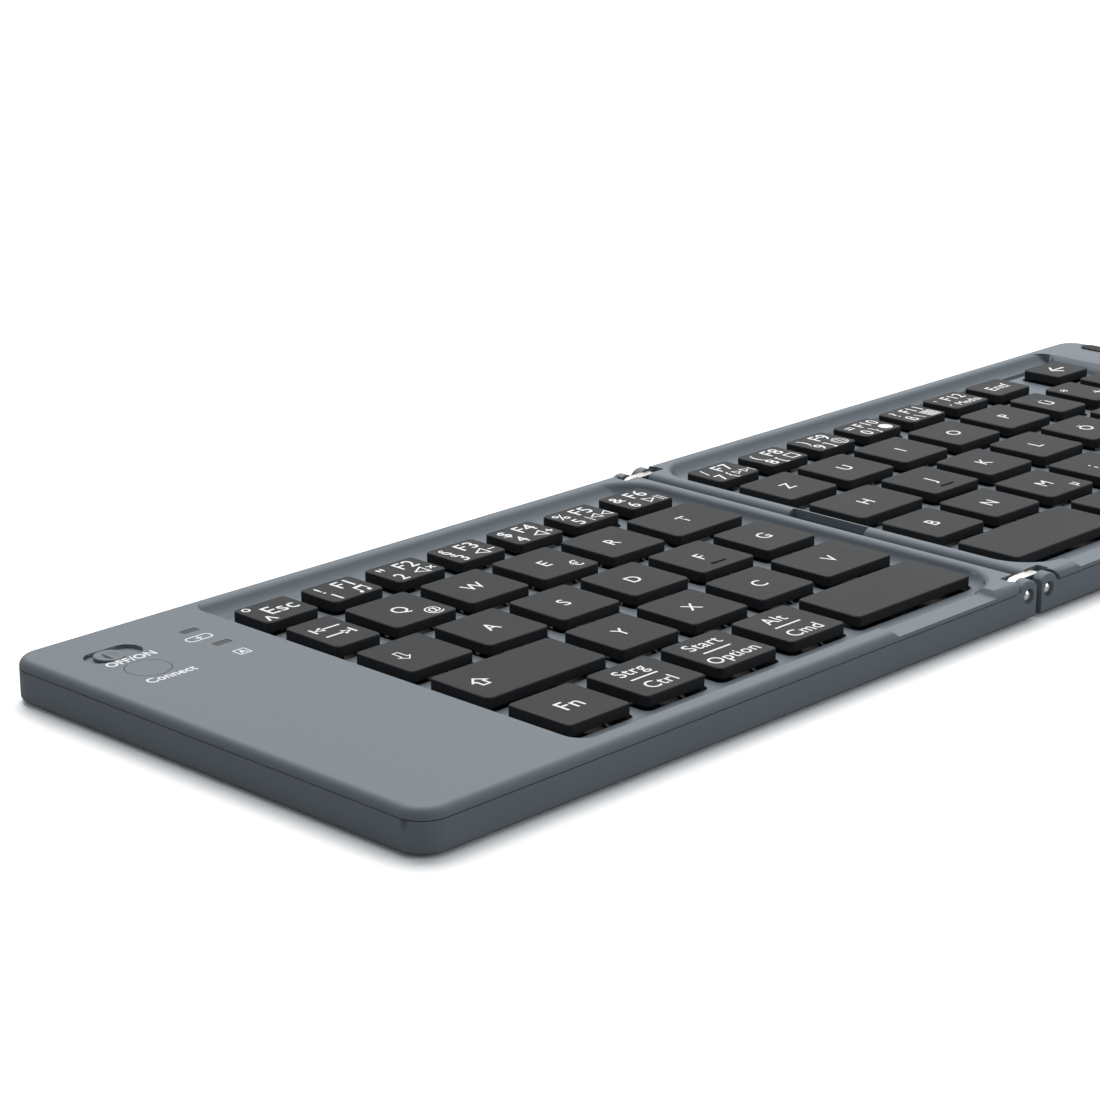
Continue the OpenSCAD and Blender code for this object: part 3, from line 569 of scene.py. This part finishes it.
LEFT_LEGENDS = {
    "key_esc": [("Esc", 1.0, 0.3, 5.1), ("\u00b0", -3.9, 1.6, 6.0), ("^", -3.6, -3.4, 5.4)],
    "key_f1": number("!", "1", "F1", icon("\U0001f3b5", 3.4)),
    "key_f2": number("\"", "2", "F2", *loudness("\u00d7"), shifted_at=(-3.5, 1.2), shifted_size=5.4),
    "key_f3": number("\u00a7", "3", "F3", *loudness("\u2212")),
    "key_f4": number("$", "4", "F4", *loudness("+")),
    "key_f5": number("%", "5", "F5", icon("|\u25c1\u25c1", 3.0)),
    "key_f6": number("&", "6", "F6", icon("\u25b7||", 3.2)),
    **{"key_" + text.lower(): letter(text) for text in "QWERTASDFGYXCV"},
}
RIGHT_LEGENDS = {
    "right_keys_row_1": [
        number("/", "7", "F7", *icon_and_bracket("\u25b7\u25b7|", 2.4, "{")),
        number("(", "8", "F8", *icon_and_bracket("\u25a1", 3.8, "[")),
        number(")", "9", "F9", *icon_and_bracket("\U0001f310", 3.6, "]")),
        number("=", "0", "F10", *icon_and_bracket("\u25cf", 4.0, "}")),
        number("?", "\u00df", "F11", *icon_and_bracket("\u25a6", 4.6, "\\")),
        [("`", -4.0, 1.2, SIGN), ("\u00b4", -4.0, -2.8, SIGN), ("F12", 1.3, 1.8, LONG_NAME),
         ("Media", 1.2, -2.2, 3.0)],
        centred("Entf", 4.0), centred("\u2190", 6.4)],
    "right_keys_row_2": [
        *map(letter, "ZUIOP\u00dc"), [("*", -2.6, 2.4, LETTER), ("+", 1.6, -2.4, LETTER)],
        centred("\u21b5", 4.6)],
    "right_keys_row_3": [
        *map(letter, "HJKL\u00d6\u00c4"), [("#", 0, 1.8, LETTER), ("'", 0, -3, LETTER)]],
    "right_keys_row_4": [
        *map(letter, "BNM"), pair(";", ","), pair(":", "."), pair("_", "-", plain_x=1.2),
        centred("\u21e7", 4.6)],
    "right_keys_row_5": [
        [], centred("AltGr", 3.8), centred("Ctrl", 3.9), centred("\u2190", 4.4),
        centred("\u2191", 3.8), centred("\u2193", 3.8), centred("\u2192", 4.4)],
}


def mark_cap(centre, marks, stroke=STROKE):
    """Prints the marks of one cap, each at its place from the cap's centre."""
    return [word(text, centre[0] + x, centre[1] + y, size,
                 stroke=0 if text > PICTOGRAMS else stroke) for text, x, y, size in marks]


def legend_name(node):
    """Name of the lettering on a left key."""
    return "legend_" + node.removeprefix("key_")


for node, marks in LEFT_LEGENDS.items():
    printed(legend_name(node), mark_cap(centres(node)[0], marks), body_of[node])
for node, row in RIGHT_LEGENDS.items():
    caps = centres(node)
    assert len(caps) == len(row), (node, len(caps), len(row))
    printed("legend_" + node, [mark for centre, marks in zip(caps, row)
                               for mark in mark_cap(centre, marks)], body_of[node])

TAB_LONG, TAB_LINE = 5.8, 0.45          # mm, length of an arrow with its stop, and line width
TAB_STOP = 2.3                          # mm, length of the stop
TAB_HEAD = 1.15                         # mm, from the middle of an arrow's head to its tip
TAB_CLEAR = 1.2                         # mm that the line is shorter than the arrow
TAB_ROW = 1.7                           # mm, each arrow from the middle of the cap
tab_x, tab_y = centres("key_tab")[0]
tab_marks = []
for y, way in ((TAB_ROW, -1), (-TAB_ROW, 1)):
    tip = tab_x + way * (TAB_LONG / 2 - TAB_LINE)
    tab_marks += [bar(tab_x + way * (TAB_LONG - TAB_LINE) / 2, tab_y + y, TAB_LINE, TAB_STOP),
                  bar(tab_x - way * TAB_CLEAR / 2, tab_y + y, TAB_LONG - TAB_CLEAR, TAB_LINE),
                  arrow_head(tip - way * TAB_HEAD, tab_y + y, TAB_HEAD, -90 * way)]
printed("legend_tab", tab_marks, body_of["key_tab"])

EDGE_LEGENDS = {
    "key_caps": ([("\u21e9", -2.65, 0.125, 5.0)], ARROW_STROKE),
    "key_shift": ([("\u21e7", -8.825, -0.375, 4.4)], ARROW_STROKE),
    "key_fn": ([("Fn", -0.25, -0.175, 4.9)], STROKE),
}
for node, (marks, stroke) in EDGE_LEGENDS.items():
    printed(legend_name(node), mark_cap(centres(node)[0], marks, stroke), body_of[node])

NAME_LINE = 0.42                        # mm, width of the line between the two names of a key
TWO_NAMES = {
    "key_ctrl": (("Strg", -0.4, 3.125, 4.0), (-0.4, -0.075, 6.0), ("Ctrl", -0.4, -3.275, 4.0)),
    "key_start": (("Start", -0.3, 3.325, 4.0), (-0.3, 0.025, 6.4), ("Option", -0.4, -3.275, 3.9)),
    "key_alt": (("Alt", -0.45, 2.825, 4.0), (-0.45, -0.375, 6.2), ("Cmd", -0.55, -3.775, 4.0)),
}
for node, (upper, (x, y, length), lower) in TWO_NAMES.items():
    centre = centres(node)[0]
    line = bar(centre[0] + x, centre[1] + y, length, NAME_LINE)
    printed(legend_name(node), [*mark_cap(centre, [upper]), line, *mark_cap(centre, [lower])],
            body_of[node])

# ---- Panel lettering ----
# The same white ink on the panel: a word in front of the slider and of the button, and a sign in
# front of each status window, a battery and a letter in a box.

PANEL_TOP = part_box("left_upper_shell")[1][2] / MM + INK_LIFT
PANEL_WORD = 2.75                       # mm, size of the words
CORNER_STEPS = 6


def sign_frame(x, y, width, height, corner, line):
    """A printed outline with rounded corners."""
    frame_mark = bar(x, y, width, height, PANEL_TOP)
    bpy.ops.object.mode_set(mode="EDIT")
    bpy.ops.mesh.select_all(action="SELECT")
    bpy.ops.mesh.bevel(offset=corner * MM, segments=CORNER_STEPS, affect="VERTICES")
    bpy.ops.mesh.select_all(action="SELECT")
    bpy.ops.mesh.inset(thickness=line * MM)
    bpy.ops.mesh.delete(type="FACE")
    bpy.ops.object.mode_set(mode="OBJECT")
    return frame_mark


def near(centre, x, y):
    """A place x and y millimetres from the centre of a control."""
    return centre[0] + x, centre[1] + y


back_window, front_window = centres("status_windows")
slider_word = near(centres("switch_knob")[0], 1.2, -3.8)
button_word = near(centres("connect_button")[0], 0.5, -4.95)
battery_sign = near(back_window, -1.05, -3.7)
letter_sign = near(front_window, -0.45, -5.5)
printed("panel_lettering", [
    word("OFF/ON", *slider_word, PANEL_WORD, PANEL_TOP, wide=0.93, stroke=0.06),
    word("Connect", *button_word, PANEL_WORD, PANEL_TOP, wide=0.94, stroke=0.06),
    word("+", *battery_sign, 2.4, PANEL_TOP, wide=1, stroke=0.05),
    sign_frame(*battery_sign, width=5.0, height=2.2, corner=0.9, line=0.28),
    word("A", *letter_sign, 2.1, PANEL_TOP, wide=1, stroke=0.04),
    sign_frame(*letter_sign, width=2.5, height=2.4, corner=0.15, line=0.24),
], "left_half")
